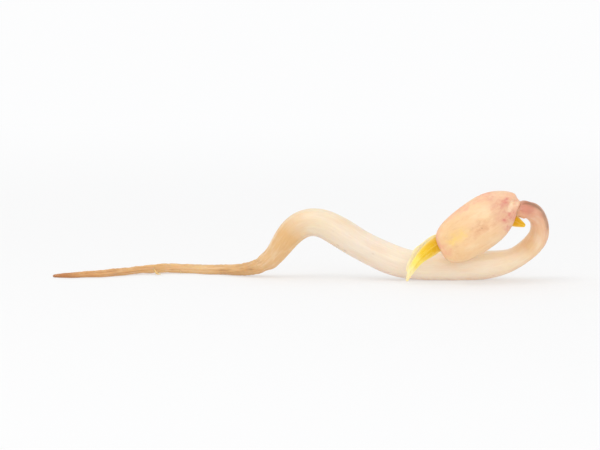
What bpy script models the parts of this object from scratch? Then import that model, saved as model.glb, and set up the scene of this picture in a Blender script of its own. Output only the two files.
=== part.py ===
"""One mung bean sprout lying on a flat surface.

The stem runs from the node between the seed leaves, round the hook, along a resting
stretch, over a low arch and out into the root. The seed leaves hang from the node with the
true leaves between them. Lengths are written in millimetres.

    blender --background --python part.py
"""

import math

import bmesh
import bpy
import numpy as np
from mathutils import Matrix

MM = 0.001

# ---- Stem and root: control points of one cubic spline, (x, y, z, radius) ----
# +X is the hook end, -Y is the side of the seed leaves, z is height over the surface.
REST_RADIUS = 1.68     # stem radius where it rests
REST_HEIGHT = 1.55     # height of the centre line there: the underside is pressed flat
AXIS = (
    (4.70, -3.36, 8.36, 0.24),     # growing tip between the seed leaves
    (5.40, -3.34, 8.66, 0.30),
    (6.15, -3.26, 8.88, 0.78),     # node
    (7.25, -2.72, 8.66, 0.94),     # hook
    (8.12, -1.60, 7.50, 1.00),
    (8.44, -0.25, 5.46, 1.08),
    (7.60, 0.44, 3.90, 1.17),
    (5.82, 0.44, 2.50, 1.21),
    (4.52, 0.26, 2.03, 1.36),
    (3.20, 0.10, 1.78, 1.52),
    (1.10, 0.00, REST_HEIGHT, REST_RADIUS),    # resting stretch
    (-1.10, 0.00, REST_HEIGHT, REST_RADIUS),
    (-3.30, 0.00, REST_HEIGHT, REST_RADIUS),
    (-5.50, 0.00, REST_HEIGHT, REST_RADIUS),
    (-7.80, 0.08, 1.98, 1.69),
    (-10.30, 0.20, 3.05, 1.70),    # arch
    (-12.60, 0.36, 4.20, 1.72),
    (-14.80, 0.55, 5.65, 1.70),
    (-16.80, 0.80, 6.66, 1.66),
    (-18.80, 1.15, 6.40, 1.56),
    (-20.30, 1.55, 5.00, 1.42),
    (-21.30, 1.95, 3.36, 1.28),
    (-22.50, 2.40, 1.78, 1.08),    # collar
    (-24.50, 3.15, 0.82, 0.74),
    (-27.20, 4.35, 0.55, 0.60),    # root
    (-30.20, 5.65, 0.46, 0.55),
    (-33.40, 6.25, 0.55, 0.52),
    (-36.40, 5.60, 0.62, 0.49),
    (-39.20, 4.05, 0.42, 0.46),
    (-41.90, 2.45, 0.34, 0.42),
    (-44.30, 1.75, 0.30, 0.36),
    (-46.40, 1.95, 0.22, 0.26),
    (-47.30, 2.15, 0.16, 0.15),    # root tip
)
AXIS_SIDES = 16
AXIS_RINGS = 122

# Short side roots: (place along the axis 0..1, turn about it in degrees, length, radius)
SIDE_ROOTS = (
    (0.735, 62.0, 2.6, 0.22),
    (0.822, -58.0, 1.9, 0.19),
    (0.905, 75.0, 1.3, 0.17),
)
SIDE_ROOT_SIDES = 8
SIDE_ROOT_SWEEP = 0.55     # how much each leans towards the root tip
SIDE_ROOT_TAPER = (1.0, 1.0, 0.98, 0.94, 0.86, 0.74, 0.45)

# ---- Head: its own frame has +X to the blunt end, +Y across and +Z out of the near face ----
HEAD_CENTRE = (1.10, -3.50, 6.60)
HEAD_ALONG = (-0.881, -0.050, -0.4705)
HEAD_LEAN = math.radians(10.0)     # the near face looks a little upward
SEED_LENGTH = 10.5
SEED_WIDTH = 5.75
SEED_BACK = 0.20           # how far the outline's middle is from the head's, towards the base
SEED_DOME = 2.30           # height of the round outer face
SEED_DISH = 0.26           # hollow of the inner face
SEED_GAP = 0.38            # from the head's middle plane to the inner rim
SEED_RIM = 0.08            # thickness of the rim
SEED_DROP = 0.115          # how far the outline leans across, per length
SEED_BOW = 0.28            # how far both ends curve up
SEED_POWER = 2.36          # outline's power, squarer the larger it is
SEED_SQUARE = 0.72         # how much squarer it is at the blunt end than at the sides
SEED_FULL = 0.19           # and at the lower side
SEED_SIDES = 30

# ---- True leaves: (along, across, off the middle plane, half width) in the head's frame ----
LEAF_FRONT = (
    (-3.70, -0.15, 0.20, 0.30),
    (-2.00, -0.10, 0.20, 0.62),
    (0.40, 0.00, 0.19, 0.88),
    (2.60, 0.15, 0.18, 0.98),
    (4.90, 0.35, 0.18, 0.98),      # leaves the head
    (6.86, 0.22, 0.18, 0.90),
    (8.40, -0.34, 0.16, 0.70),
    (9.63, -1.13, 0.08, 0.42),
    (10.30, -1.75, 0.00, 0.18),
    (10.50, -2.00, -0.02, 0.10),   # tip, touching the surface
)
LEAF_BACK = (
    (-3.70, -0.25, 0.20, 0.30),
    (-2.00, -0.20, 0.20, 0.60),
    (0.40, -0.10, 0.19, 0.84),
    (2.60, 0.10, 0.18, 0.92),
    (4.70, 0.45, 0.18, 0.88),
    (6.20, 0.62, 0.28, 0.72),
    (7.40, 0.45, 0.44, 0.48),
    (8.20, 0.10, 0.56, 0.24),
    (8.55, -0.15, 0.62, 0.10),
)
LEAF_RINGS = 30
LEAF_THICK = 0.20
LEAF_COLUMNS = 9           # points across the blade
LEAF_FLAT_FOLD = 0.10      # depth of the fold per half width, between the seed leaves
LEAF_OPEN_FOLD = 0.46      # and outside them

# slot: base colour (linear), roughness
FINISHES = {
    "stem_flesh": ((0.87, 0.72, 0.50), 0.42),
    "seed_leaf_flesh": ((0.86, 0.58, 0.33), 0.48),
    "true_leaf_tissue": ((0.87, 0.56, 0.06), 0.50),
}


def clear_scene():
    """Remove every object that the file starts with."""
    for item in list(bpy.data.objects):
        bpy.data.objects.remove(item)


def make_material(slot):
    """A Principled BSDF with the slot's colour and roughness."""
    colour, roughness = FINISHES[slot]
    material = bpy.data.materials.new(slot)
    material.use_nodes = True
    shader = material.node_tree.nodes["Principled BSDF"]
    shader.inputs["Base Color"].default_value = (*colour, 1.0)
    shader.inputs["Roughness"].default_value = roughness
    shader.inputs["Metallic"].default_value = 0.0
    return material


def make_empty(name, parent=None, matrix=None):
    """An empty that other objects hang from."""
    empty = bpy.data.objects.new(name, None)
    bpy.context.scene.collection.objects.link(empty)
    empty.parent = parent
    if matrix is not None:
        empty.matrix_local = matrix
    return empty


def unit(vectors):
    """The vectors along the last axis, each made one long."""
    vectors = np.asarray(vectors, float)
    return vectors / np.linalg.norm(vectors, axis=-1, keepdims=True)


def spline(controls, count):
    """Evenly spaced samples of the uniform cubic spline of the control points.

    A point mirrored beyond each end makes the curve start and stop on its control points.
    """
    points = np.array(controls, float)
    points = np.vstack([2 * points[0] - points[1], points, 2 * points[-1] - points[-2]])
    t = np.linspace(0, len(points) - 3, 24 * (len(points) - 3) + 1)
    i = np.minimum(t.astype(int), len(points) - 4)
    f = (t - i)[:, None]
    dense = (
        (1 - f) ** 3 * points[i]
        + (3 * f**3 - 6 * f**2 + 4) * points[i + 1]
        + (-3 * f**3 + 3 * f**2 + 3 * f + 1) * points[i + 2]
        + f**3 * points[i + 3]
    ) / 6
    steps = np.linalg.norm(np.diff(dense[:, :3], axis=0), axis=1)
    run = np.concatenate([[0], np.cumsum(steps)])
    return np.stack([np.interp(np.linspace(0, run[-1], count), run, c) for c in dense.T], axis=1)


def carried_frames(path, start, first_up):
    """Tangent, up and side along a path; up is carried without twist, both ways from start."""
    tangent = unit(np.gradient(path, axis=0))
    up = np.tile(np.array(first_up, float), (len(path), 1))
    for order in (range(start, len(path)), range(start, -1, -1)):
        carried = up[start]
        for i in order:
            carried = unit(carried - (carried @ tangent[i]) * tangent[i])
            up[i] = carried
    return tangent, up, np.cross(tangent, up)


def tube_rings(path, radius, up, side, sides):
    """Round rings about a path, pressed flat where they would go under the surface."""
    turn = np.arange(sides) / sides * math.tau
    circle = np.cos(turn)[:, None, None] * up + np.sin(turn)[:, None, None] * side
    rings = (path + circle * radius[:, None]).transpose(1, 0, 2)
    rings[:, :, 2] = np.maximum(rings[:, :, 2], 0)
    return rings


def loft(name, rings, material, parent):
    """A smooth closed object: rings bridged one to the next, each end fanned from its middle."""
    body = bmesh.new()
    loops = [[body.verts.new(point * MM) for point in ring] for ring in rings]
    for ring, after in zip(loops, loops[1:]):
        for i in range(len(ring)):
            body.faces.new((ring[i - 1], ring[i], after[i], after[i - 1]))
    for loop in (loops[0], loops[-1]):
        cap = body.faces.new(loop)
        bmesh.ops.poke(body, faces=[cap])
    bmesh.ops.recalc_face_normals(body, faces=body.faces)
    mesh = bpy.data.meshes.new(name)
    body.to_mesh(mesh)
    body.free()
    mesh.shade_smooth()
    mesh.materials.append(material)
    item = bpy.data.objects.new(name, mesh)
    bpy.context.scene.collection.objects.link(item)
    item.parent = parent
    return item


def join_side_root(stem, number, base, out, up, length, radius):
    """Union one short side root to the stem: it sweeps outward and sinks to the surface."""
    steps = np.linspace(0, 1, len(SIDE_ROOT_TAPER))[:, None]
    path = base + out * length * steps
    path[:, 2] += (radius * 0.9 - path[:, 2]) * steps[:, 0] ** 1.5
    _, up, side = carried_frames(path, 0, up)
    rings = tube_rings(path, radius * np.array(SIDE_ROOT_TAPER), up, side, SIDE_ROOT_SIDES)
    twig = loft(f"side_root_{number}", rings, stem.data.materials[0], stem)
    twig.hide_render = True
    twig.display_type = "WIRE"
    join = stem.modifiers.new(twig.name, "BOOLEAN")
    join.operation = "UNION"
    join.solver = "EXACT"
    join.object = twig


def build_axis(material, parent):
    """Growing tip, hook, stem, collar and root: the one body that they grew as."""
    curve = spline(AXIS, AXIS_RINGS)
    path, radius = curve[:, :3], curve[:, 3]
    rest = np.argmin(np.abs(path[:, 0]) + np.abs(path[:, 2] - REST_HEIGHT))
    tangent, up, side = carried_frames(path, rest, (0, 0, 1))
    radius[[0, -1]] *= (0.55, 0.6)
    stem = loft("stem_and_root", tube_rings(path, radius, up, side, AXIS_SIDES), material, parent)
    for number, (place, turn, length, thick) in enumerate(SIDE_ROOTS):
        i = round(place * (AXIS_RINGS - 1))
        angle = math.radians(turn)
        out = math.cos(angle) * up[i] + math.sin(angle) * side[i] + SIDE_ROOT_SWEEP * tangent[i]
        join_side_root(stem, number, path[i], unit(out), up[i], length, thick)
    return stem


def head_matrix():
    """The head's frame: +X along to the blunt end, +Z out of the near face."""
    along = unit(HEAD_ALONG)
    out = np.array([0.0, -math.cos(HEAD_LEAN), math.sin(HEAD_LEAN)])
    out = unit(out - (out @ along) * along)
    matrix = Matrix(np.stack([along, np.cross(out, along), out], axis=1).tolist()).to_4x4()
    matrix.translation = [value * MM for value in HEAD_CENTRE]
    return matrix


def seed_leaf(name, face, material, head):
    """One seed leaf: a blunt oval, round outside and slightly hollow inside.

    The outline is a super-ellipse, squarer at the blunt end than at the base, with both ends
    curved up. Rings step from the hollow of the inner face to its rim, then over the dome to
    the middle of the outer one.
    """
    turn = np.arange(SEED_SIDES) / SEED_SIDES * math.tau
    power = SEED_POWER + SEED_SQUARE * np.cos(turn) + SEED_FULL * np.sin(turn)
    reach = (np.abs(np.cos(turn)) ** power + np.abs(np.sin(turn)) ** power) ** (-1 / power)
    along = reach * np.cos(turn) * SEED_LENGTH / 2
    across = reach * np.sin(turn) * SEED_WIDTH / 2 + SEED_DROP * along
    across -= SEED_BOW * (2 * along / SEED_LENGTH) ** 2
    hollow = [(r, SEED_DISH * (1 - r**2)) for r in (0.30, 0.60, 0.85)]
    dome = [
        (math.cos(a) ** 0.9, SEED_RIM + SEED_DOME * math.sin(a))
        for a in np.radians((4.0, 20.0, 37.0, 53.0, 68.0, 80.0))
    ]
    rings = [
        np.column_stack([r * along - SEED_BACK, r * across, np.full(SEED_SIDES, face * (SEED_GAP + h))])
        for r, h in hollow + dome
    ]
    return loft(name, rings, material, head)


def true_leaf(name, route, face, material, head):
    """One folded true leaf: a thin blade bent along its midrib, swept from node to tip."""
    curve = spline(route, LEAF_RINGS)
    path, half = curve[:, :3] * (1, -1, face), curve[:, 3]
    tangent = unit(np.gradient(path, axis=0))
    out = np.array([0.0, 0.0, face])
    rise = unit(out - (tangent @ out)[:, None] * tangent)
    width = np.cross(tangent, rise)
    # The fold deepens as the leaf leaves the seed leaves.
    opening = np.clip((path[:, 0] - SEED_LENGTH / 2 + SEED_BACK - 0.1) / 1.6, 0, 1)
    depth = half * (LEAF_FLAT_FOLD + (LEAF_OPEN_FOLD - LEAF_FLAT_FOLD) * opening)
    k = np.linspace(-1, 1, LEAF_COLUMNS)[:, None]
    crest = (1 - np.abs(k) ** 1.4) * depth
    thick = np.minimum(LEAF_THICK, half * 0.9) * (1 - 0.4 * k**2)
    over = np.stack([k * half, crest + thick / 2], axis=-1)
    under = np.stack([k * half * 0.97, crest - thick / 2], axis=-1)
    section = np.concatenate([over, under[::-1]])
    rings = (path + section[..., :1] * width + section[..., 1:] * rise).transpose(1, 0, 2)
    # No point goes under the surface that the sprout lies on.
    turn = np.array(head_matrix().to_3x3())
    world = rings @ turn.T + HEAD_CENTRE
    world[..., 2] = np.maximum(world[..., 2], 0)
    return loft(name, (world - HEAD_CENTRE) @ turn, material, head)


def settle(sprout, parts):
    """Stand the middle of the whole box over the origin, with its bottom at z = 0."""
    bpy.context.view_layer.update()
    graph = bpy.context.evaluated_depsgraph_get()
    points = []
    for part in parts:
        mesh = part.evaluated_get(graph).to_mesh()
        points += [part.matrix_world @ vertex.co for vertex in mesh.vertices]
    low, high = np.min(points, axis=0), np.max(points, axis=0)
    sprout.location = (-(low[0] + high[0]) / 2, -(low[1] + high[1]) / 2, -low[2])


def main():
    """Build the five bodies and settle them on the surface."""
    clear_scene()
    stem, seed, leaf = (make_material(slot) for slot in FINISHES)
    sprout = make_empty("sprout")
    head = make_empty("head", sprout, head_matrix())
    parts = [
        build_axis(stem, sprout),
        seed_leaf("seed_leaf_front", 1, seed, head),
        seed_leaf("seed_leaf_back", -1, seed, head),
        true_leaf("true_leaf_front", LEAF_FRONT, 1, leaf, head),
        true_leaf("true_leaf_back", LEAF_BACK, -1, leaf, head),
    ]
    settle(sprout, parts)


main()
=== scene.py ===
"""The looks of one mung bean sprout that lies on a pale surface.

The stem with its hook and root, the side roots, the two seed leaves with their necks and the
folded true leaves are each a surface worked out on a grid of two parameters. Lengths are in
millimetres until a surface becomes a piece. The head has its own frame: u runs from the base
of the seed leaves to their blunt end, v runs down across them and w out of the near face.
"""

import logging
import math
from collections.abc import Callable, Sequence
from dataclasses import dataclass, field, replace
from enum import Enum
from typing import ClassVar

import bpy
import numpy as np
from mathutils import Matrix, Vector

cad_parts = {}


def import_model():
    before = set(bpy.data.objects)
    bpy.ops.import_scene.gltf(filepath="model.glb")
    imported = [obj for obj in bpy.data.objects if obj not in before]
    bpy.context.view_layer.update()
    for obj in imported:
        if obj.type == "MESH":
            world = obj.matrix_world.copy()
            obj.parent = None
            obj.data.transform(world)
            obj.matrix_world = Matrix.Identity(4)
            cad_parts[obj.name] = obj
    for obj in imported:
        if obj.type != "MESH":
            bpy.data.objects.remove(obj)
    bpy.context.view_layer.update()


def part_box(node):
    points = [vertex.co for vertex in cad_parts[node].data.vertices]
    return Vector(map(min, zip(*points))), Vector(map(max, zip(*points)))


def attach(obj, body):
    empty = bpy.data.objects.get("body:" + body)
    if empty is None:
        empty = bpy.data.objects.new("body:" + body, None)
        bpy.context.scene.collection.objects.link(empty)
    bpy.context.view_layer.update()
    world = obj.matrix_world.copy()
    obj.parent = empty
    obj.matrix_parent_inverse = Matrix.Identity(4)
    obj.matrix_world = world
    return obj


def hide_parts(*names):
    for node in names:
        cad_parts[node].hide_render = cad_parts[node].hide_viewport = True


LOG = logging.getLogger("sprout")
MM = 0.001
BODY = "root"
ANY_DEPTH = 1000.0      # half thickness of a patch that reaches through, mm

Array = np.ndarray
Colour = tuple[float, float, float, float]
Point = tuple[float, float, float]
Control = tuple[float, float, float, float]
Stops = Sequence[tuple[float, Colour]]
Socket = bpy.types.NodeSocket


class Face(Enum):
    """The side of the head's middle plane that a leaf lies on."""

    NEAR = 1
    FAR = -1


class Slot(Enum):
    """The record's material slots."""

    STEM = "stem_flesh"
    SEED = "seed_leaf_flesh"
    LEAF = "true_leaf_tissue"


# ---------------------------------------------------------------- numbers


def tone(red: float, green: float, blue: float) -> Colour:
    """A colour from its display values.

    Each value over 255 is raised to 2.4 after adding 0.055 and dividing by 1.055.

    Args:
        red: Display value from 0 to 255.
        green: Display value from 0 to 255.
        blue: Display value from 0 to 255.

    Returns:
        The linear colour with alpha 1.
    """
    linear = [((value / 255 + 0.055) / 1.055) ** 2.4 for value in (red, green, blue)]
    return (*linear, 1.0)


def unit(vectors: Array) -> Array:
    """The vectors along the last axis, each made one long."""
    return vectors / np.linalg.norm(vectors, axis=-1, keepdims=True)


def ease(value: Array, low: float, high: float) -> Array:
    """A smooth step: 3f^2 - 2f^3, where f is the share of the way from low to high.

    Args:
        value: Where the step is wanted.
        low: Value where it is 0.
        high: Value where it is 1. It may be below low.

    Returns:
        The step, from 0 to 1.
    """
    share = np.clip((np.asarray(value, float) - low) / (high - low), 0, 1)
    return share * share * (3 - 2 * share)


def hump(value: Array, centre: float, width: float) -> Array:
    """A bell: e to the minus square of the distance from the centre over the width."""
    return np.exp(-(((np.asarray(value, float) - centre) / width) ** 2))


@dataclass(frozen=True)
class Bell:
    """A bell past a mark: how far past it, the bell's width and its height."""

    past: float
    width: float
    height: float

    def over(self, value: Array, mark: float | Array = 0.0) -> Array:
        """The height x the hump about the mark + how far past it the bell is."""
        return self.height * hump(value, mark + self.past, self.width)


def spline(controls: Sequence[Sequence[float]], dense: int = 120) -> Array:
    """The uniform cubic spline of the control points, with its ends on the outer ones.

    Each point is four neighbouring controls weighed by (1-f)^3, 3f^3-6f^2+4,
    -3f^3+3f^2+3f+1 and f^3, over six. A control mirrored beyond each end ties the ends.

    Args:
        controls: Rows of numbers, the first three of them a place.
        dense: Samples in each span.

    Returns:
        One row for each sample.
    """
    points = np.array(controls, float)
    points = np.vstack([2 * points[0] - points[1], points, 2 * points[-1] - points[-2]])
    spans = len(points) - 3
    t = np.linspace(0, spans, dense * spans + 1)
    i = np.minimum(t.astype(int), spans - 1)
    f = (t - i)[:, None]
    return (
        (1 - f) ** 3 * points[i]
        + (3 * f**3 - 6 * f**2 + 4) * points[i + 1]
        + (-3 * f**3 + 3 * f**2 + 3 * f + 1) * points[i + 2]
        + f**3 * points[i + 3]
    ) / 6


def run_of(path: Array) -> Array:
    """The length along a path up to each of its points."""
    return np.concatenate([[0], np.cumsum(np.linalg.norm(np.diff(path, axis=0), axis=1))])


@dataclass(frozen=True)
class Ripples:
    """Seeded waves over a surface: a sum of cosines, each with its own pitch and phase."""

    seed: int
    waves: int
    pitch: tuple[float, float]
    turns: tuple[int, int] = (0, 0)

    def round_about(self, run: Array, turn: Array) -> Array:
        """Waves on a tube: cosines of run over pitch plus a whole number of turns about it.

        Args:
            run: Length along the tube.
            turn: Angle about it.

        Returns:
            The sum of the cosines over the root of half their number.
        """
        draw = np.random.default_rng(self.seed)
        pitch = draw.uniform(*self.pitch, self.waves)
        turns = draw.integers(self.turns[0], self.turns[1] + 1, self.waves)
        turns = turns * draw.choice((-1, 1), self.waves)
        phase = draw.uniform(0, math.tau, self.waves)
        angle = math.tau * run[..., None] / pitch + turns * turn[..., None] + phase
        return np.cos(angle).sum(-1) / math.sqrt(self.waves / 2)

    def across(self, x: Array, y: Array) -> Array:
        """Waves on a plane: cosines of the distance along seeded directions over the pitch.

        Args:
            x: First coordinate.
            y: Second coordinate.

        Returns:
            The sum of the cosines over the root of half their number.
        """
        draw = np.random.default_rng(self.seed)
        pitch = draw.uniform(*self.pitch, self.waves)
        heading = draw.uniform(0, math.tau, self.waves)
        phase = draw.uniform(0, math.tau, self.waves)
        reach = x[..., None] * np.cos(heading) + y[..., None] * np.sin(heading)
        return np.cos(math.tau * reach / pitch + phase).sum(-1) / math.sqrt(self.waves / 2)


@dataclass(frozen=True)
class Route:
    """A centre line with its thickness, and a frame carried along it without twist."""

    path: Array
    radius: Array
    run: Array
    tangent: Array
    up: Array
    side: Array
    end_rings: ClassVar[int] = 9
    end_angle: ClassVar[float] = 0.12       # of the first ring in a round end

    @classmethod
    def through(
        cls,
        controls: Sequence[Sequence[float]],
        spacing: float,
        cap: float,
        first_up: Point,
        start: Point | None = None,
    ) -> "Route":
        """The route through control points, with its rings crowded into both round ends.

        A ring's distance from its end is cap times 1 - cos of an even angle there. The ends
        are round: the radius is scaled by the root of 1 - (1 - distance over cap)^2.

        Args:
            controls: Rows of x, y, z and radius.
            spacing: Distance between rings.
            cap: Length of each round end.
            first_up: The frame's up direction at the start.
            start: Where the frame starts from. The first control when left out.

        Returns:
            The route.
        """
        dense = spline(controls)
        run = run_of(dense[:, :3])
        crowd = cap * (1 - np.cos(np.linspace(cls.end_angle, math.pi / 2, cls.end_rings)))
        middle = np.linspace(cap, run[-1] - cap, round((run[-1] - 2 * cap) / spacing))
        places = np.concatenate([crowd, middle[1:-1], run[-1] - crowd[::-1]])
        curve = np.stack([np.interp(places, run, column) for column in dense.T], axis=1)
        path, radius = curve[:, :3], curve[:, 3]
        end = np.clip(np.minimum(places, run[-1] - places) / cap, 0, 1)
        radius = radius * np.sqrt(1 - (1 - end) ** 2)
        tangent = unit(np.gradient(path, places, axis=0))
        first = 0 if start is None else int(np.argmin(np.linalg.norm(path - start, axis=1)))
        up = cls._carried(tangent, np.array(first_up, float), first)
        return cls(path, radius, places, tangent, up, np.cross(tangent, up))

    @staticmethod
    def _carried(tangent: Array, first_up: Array, first: int) -> Array:
        """The up direction carried both ways from its first ring, square to the path.

        Args:
            tangent: The path's direction at each ring.
            first_up: Up at the first ring.
            first: Number of that ring.

        Returns:
            Up at each ring.
        """
        up = np.tile(first_up, (len(tangent), 1))
        for order in (range(first, len(tangent)), range(first, -1, -1)):
            carried = up[first]
            for i in order:
                carried = carried - (carried @ tangent[i]) * tangent[i]
                carried = carried / np.linalg.norm(carried)
                up[i] = carried
        return up

    def run_at(self, point: Point) -> float:
        """The length along the route to the ring nearest to a point."""
        return float(self.run[np.argmin(np.linalg.norm(self.path - point, axis=1))])

    def bend(self, smoothing: int = 15) -> Array:
        """The bend vector at each ring: the change of direction per length, smoothed.

        Args:
            smoothing: Number of rings that each value is the mean of.

        Returns:
            Vectors that point to the inside of the bend, in turns of 1/mm.
        """
        change = np.gradient(self.tangent, self.run, axis=0)
        window = np.ones(smoothing) / smoothing
        return np.stack([np.convolve(column, window, "same") for column in change.T], axis=1)

    def directions(self, turn: Array) -> Array:
        """The directions about the route: up x cos t + side x sin t, by ring and angle."""
        about = np.cos(turn)[None, :, None] * self.up[:, None]
        return about + np.sin(turn)[None, :, None] * self.side[:, None]

    def rings(self, turn: Array, reach: Array) -> Array:
        """Rings about the path: path + direction x reach.

        Args:
            turn: Angle of each point about the path.
            reach: Distance from the path, for each ring and angle.

        Returns:
            Points by ring and angle.
        """
        return self.path[:, None] + self.directions(turn) * reach[..., None]

    def straightened(self, turn: Array, start: float = 0.0) -> Array:
        """Places as if the route were straight: radius x cos t, radius x sin t, start + run.

        Args:
            turn: Angle of each point about the route.
            start: Where its run starts.

        Returns:
            Vectors by ring and angle.
        """
        radius = self.radius[:, None]
        run = np.broadcast_to(self.run[:, None], (len(self.run), len(turn)))
        return np.stack([radius * np.cos(turn), radius * np.sin(turn), run + start], axis=-1)


# ---------------------------------------------------------------- surfaces and pieces


def even_turn(count: int) -> Array:
    """Even angles round a circle."""
    return np.arange(count) / count * math.tau


def grid_normals(rings: Array) -> Array:
    """Normals of a closed-round grid: the cross product of its two slopes, smoothed over.

    Args:
        rings: Points by ring and place round it.

    Returns:
        One vector for each point, turned to the same side.
    """
    wrapped = np.concatenate([rings[:, -1:], rings, rings[:, :1]], axis=1)
    round_slope = wrapped[:, 2:] - wrapped[:, :-2]
    along_slope = np.gradient(rings, axis=0)
    return unit(np.cross(round_slope, along_slope))


@dataclass
class Surface:
    """A closed surface: points, faces, and named values at the points."""

    points: Array
    faces: list[list[int]]
    values: dict[str, Array] = field(default_factory=dict)

    @classmethod
    def closed(cls, rings: Array, values: dict[str, Array]) -> "Surface":
        """Rings bridged by four-sided faces, with a middle point fanned to each end ring.

        Each end's middle point, and its values, are the mean of that ring's. Faces are turned
        outwards by the sign of the volume that they enclose.

        Args:
            rings: Points by ring and place round it.
            values: Numbers or vectors on the same grid.

        Returns:
            The surface.
        """
        count, sides = rings.shape[:2]
        index = np.arange(count * sides).reshape(count, sides)
        after = np.roll(index, -1, axis=1)
        quads = np.stack([index[:-1], after[:-1], after[1:], index[1:]], -1).reshape(-1, 4)
        first, last = count * sides, count * sides + 1
        head = np.stack([np.full(sides, first), after[0], index[0]], -1)
        tail = np.stack([np.full(sides, last), index[-1], after[-1]], -1)
        fans = np.concatenate([head, tail])
        points = cls._with_ends(rings)
        corners = points[quads]
        volume = np.sum(np.cross(corners[:, 0], corners[:, 1]) * corners[:, 2])
        volume = volume + np.sum(np.cross(corners[:, 0], corners[:, 2]) * corners[:, 3])
        if volume < 0:
            quads, fans = quads[:, ::-1], fans[:, ::-1]
        flat = {name: cls._with_ends(value) for name, value in values.items()}
        return cls(points, quads.tolist() + fans.tolist(), flat)

    @staticmethod
    def _with_ends(grid: Array) -> Array:
        """The grid as a list, followed by the mean of its first and of its last ring."""
        flat = grid.reshape(grid.shape[0] * grid.shape[1], *grid.shape[2:])
        return np.concatenate([flat, grid[:1].mean(1), grid[-1:].mean(1)])

    def piece(self, name: str, material: bpy.types.Material, slot: Slot) -> bpy.types.Object:
        """Make the surface a smooth object that rides on the sprout's body.

        Args:
            name: The piece's name.
            material: Its finish.
            slot: The record's slot that the finish belongs to. Not used.

        Returns:
            The object, with its place in its mesh.
        """
        mesh = bpy.data.meshes.new(name)
        mesh.from_pydata((self.points * MM).tolist(), [], self.faces)
        for key, value in self.values.items():
            vector = value.ndim == 2
            layer = mesh.attributes.new(key, "FLOAT_VECTOR" if vector else "FLOAT", "POINT")
            layer.data.foreach_set("vector" if vector else "value", value.astype(np.float32).ravel())
        mesh.shade_smooth()
        mesh.materials.append(material)
        mesh.update()
        item = bpy.data.objects.new(name, mesh)
        bpy.context.scene.collection.objects.link(item)
        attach(item, BODY)
        LOG.info("%s: %d points, %d faces", name, len(self.points), len(self.faces))
        return item


# ---------------------------------------------------------------- material graphs


class Layer(Enum):
    """The noise layers that a tint can follow."""

    CLOUDS = "clouds"
    FIBRES = "fibres"


@dataclass(frozen=True)
class Clouds:
    """Cloudy noise: its stretch, its clouds per length, its finer layers and their strength."""

    stretch: Point = (1.0, 1.0, 1.0)
    scale: float = 1.0
    detail: float = 3.0
    rough: float = 0.5
    shift: Point = (0.0, 0.0, 0.0)


@dataclass(frozen=True)
class Wash:
    """A tint laid by a noise layer: none at its first value, the most at its second."""

    layer: Layer
    none_at: float
    most_at: float
    most: float
    tint: Colour


@dataclass(frozen=True)
class Flesh:
    """How flesh takes light: the share that soaks in, how far it goes, and the wet film."""

    glow: float
    spread: Point               # of red, green and blue, as shares of the depth
    depth: float                # mm
    film: float = 0.0
    film_rough: float = 0.25
    refraction: float = 1.42
    shine: float = 0.5


def fill_ramp(ramp: bpy.types.ColorRamp, stops: Stops) -> None:
    """Give a colour ramp its stops.

    Args:
        ramp: The ramp, with the stops that it comes with.
        stops: Places from 0 to 1 with their colours, in order.
    """
    marks = ramp.elements
    while len(marks) < len(stops):
        marks.new(0.5)
    for mark, (place, _) in zip(marks, stops, strict=True):
        mark.position = place
    for mark, (_, colour) in zip(marks, stops, strict=True):
        mark.color = colour


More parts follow.
